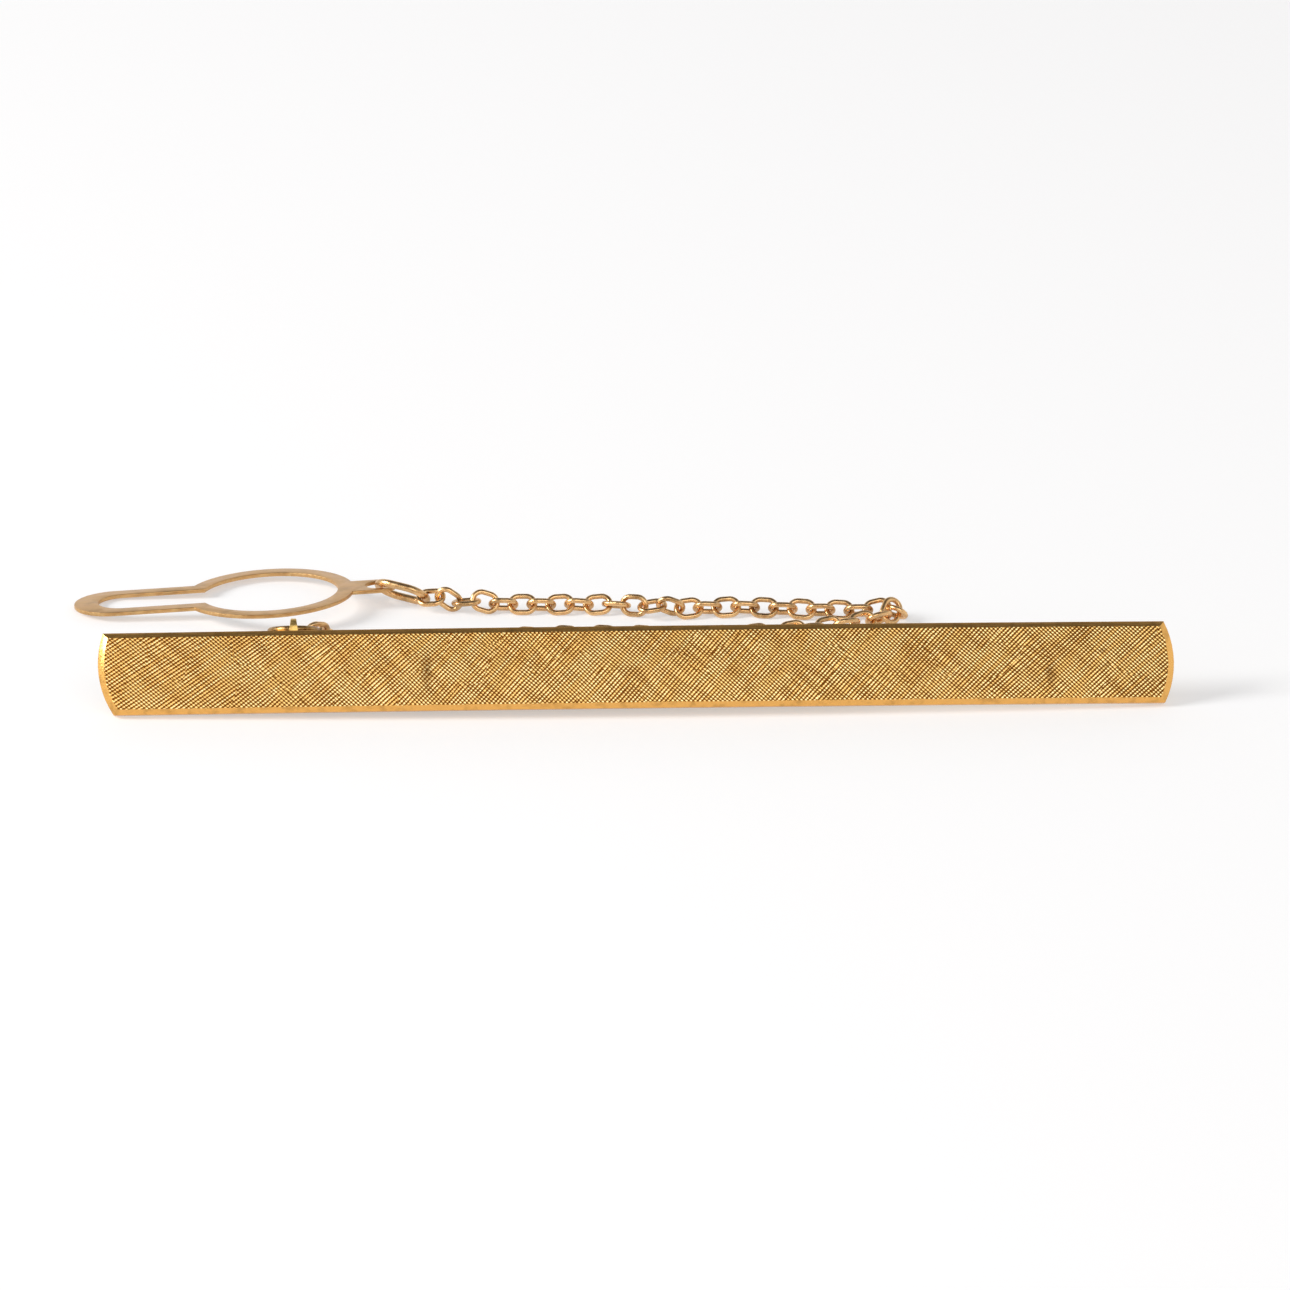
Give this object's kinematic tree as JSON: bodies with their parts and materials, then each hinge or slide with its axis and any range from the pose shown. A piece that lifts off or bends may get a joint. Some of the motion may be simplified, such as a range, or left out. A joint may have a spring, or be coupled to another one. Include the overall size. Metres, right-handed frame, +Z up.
{
  "type": "tie clip",
  "caption": "Tie bar with a bowed, bevelled and engraved plate, a sprung jaw clip behind it, and a fine chain that ends in a keyhole loop for a shirt button.",
  "frame": {"origin": "bottom centre of the bounding box, on the surface that the clip lies on", "axes": "+X along the bar to its right end, +Y from the bar back to the chain and loop, +Z up"},
  "size_m": [0.0668, 0.0258, 0.0051],
  "materials": {
    "engraved_gold": "gold-plated, cross-hatched engraved face with polished bevels, softly worn",
    "clip_gold": "gold-plated stamped sheet, satin",
    "chain_gold": "polished gold-plated wire",
    "loop_gold": "pale gold-plated stamped sheet",
    "spring_steel": "bare spring wire"
  },
  "bodies": {
    "bar": {"face_bar": "engraved_gold", "clip_base": "clip_gold", "chain_lug": "clip_gold", "hinge_pin": "clip_gold", "torsion_spring": "spring_steel"},
    "jaw": {"jaw_lever": "clip_gold"},
    "lug_ring": {"lug_ring": "chain_gold"},
    "chain_01": {"chain_links_01": "chain_gold"},
    "chain_02": {"chain_links_02": "chain_gold"},
    "chain_03": {"chain_links_03": "chain_gold"},
    "chain_04": {"chain_links_04": "chain_gold"},
    "chain_05": {"chain_links_05": "chain_gold"},
    "chain_06": {"chain_links_06": "chain_gold"},
    "chain_07": {"chain_links_07": "chain_gold"},
    "chain_08": {"chain_links_08": "chain_gold"},
    "chain_09": {"chain_links_09": "chain_gold"},
    "chain_10": {"chain_links_10": "chain_gold"},
    "chain_11": {"chain_links_11": "chain_gold"},
    "chain_12": {"chain_links_12": "chain_gold"},
    "end_ring": {"end_ring": "chain_gold"},
    "button_loop": {"button_loop": "loop_gold"}
  },
  "joints": [
    {"name": "jaw_hinge", "type": "hinge", "parent": "bar", "child": "jaw", "pos_m": [-0.02164, -0.0091, 0.0023], "axis": [0, 0.4297, 0.903], "range_deg": [0, 12], "stiffness_Nm_per_rad": 0.1, "springref_deg": -28.65, "deforming": ["torsion_spring"]},
    {"name": "lug_ring_swing", "type": "hinge", "parent": "bar", "child": "lug_ring", "pos_m": [-0.01974, -0.00844, 0.00441], "axis": [1, 0, 0], "range_deg": [0, 90]},
    {"name": "chain_01_swing", "type": "hinge", "parent": "lug_ring", "child": "chain_01", "pos_m": [-0.0188, -0.00651, 0.00349], "axis": [0, 0, 1], "range_deg": [-14, 20]},
    {"name": "chain_02_swing", "type": "hinge", "parent": "chain_01", "child": "chain_02", "pos_m": [-0.01461, -0.00362, 0.00064], "axis": [0, 0, -1], "range_deg": [-20, 16]},
    {"name": "chain_03_swing", "type": "hinge", "parent": "chain_02", "child": "chain_03", "pos_m": [-0.00934, -0.00103, 0.00054], "axis": [0, 0, 1], "range_deg": [-20, 20]},
    {"name": "chain_04_swing", "type": "hinge", "parent": "chain_03", "child": "chain_04", "pos_m": [-0.00356, -0.00001, 0.00063], "axis": [0, 0, -1], "range_deg": [-20, 20]},
    {"name": "chain_05_swing", "type": "hinge", "parent": "chain_04", "child": "chain_05", "pos_m": [0.00232, -0.00014, 0.00056], "axis": [0, 0, 1], "range_deg": [-20, 16]},
    {"name": "chain_06_swing", "type": "hinge", "parent": "chain_05", "child": "chain_06", "pos_m": [0.00821, -0.00014, 0.00055], "axis": [0, 0, -1], "range_deg": [-14, 20]},
    {"name": "chain_07_swing", "type": "hinge", "parent": "chain_06", "child": "chain_07", "pos_m": [0.01392, 0.00124, 0.00062], "axis": [0, 0, 1], "range_deg": [-20, 10]},
    {"name": "chain_08_swing", "type": "hinge", "parent": "chain_07", "child": "chain_08", "pos_m": [0.01716, 0.004, 0.00078], "axis": [0, 0, -1], "range_deg": [-10, 20]},
    {"name": "chain_09_swing", "type": "hinge", "parent": "chain_08", "child": "chain_09", "pos_m": [0.01131, 0.00439, 0.00059], "axis": [0, 0, 1], "range_deg": [-20, 11]},
    {"name": "chain_10_swing", "type": "hinge", "parent": "chain_09", "child": "chain_10", "pos_m": [0.00545, 0.00473, 0.00063], "axis": [0, 0, -1], "range_deg": [-13, 20]},
    {"name": "chain_11_swing", "type": "hinge", "parent": "chain_10", "child": "chain_11", "pos_m": [-0.00019, 0.00549, 0.00066], "axis": [0, 0, 1], "range_deg": [-12, 12]},
    {"name": "chain_12_swing", "type": "hinge", "parent": "chain_11", "child": "chain_12", "pos_m": [-0.00607, 0.0058, 0.00057], "axis": [0, 0, -1], "range_deg": [-20, 20]},
    {"name": "end_ring_swing", "type": "hinge", "parent": "chain_12", "child": "end_ring", "pos_m": [-0.01189, 0.00658, 0.00091], "axis": [0.4351, 0.776, 0.4566], "range_deg": [0, 36]},
    {"name": "button_loop_swing", "type": "hinge", "parent": "end_ring", "child": "button_loop", "pos_m": [-0.01438, 0.00774, 0.00116], "axis": [0.2694, 0.7196, -0.64], "range_deg": [0, 30]}
  ]
}
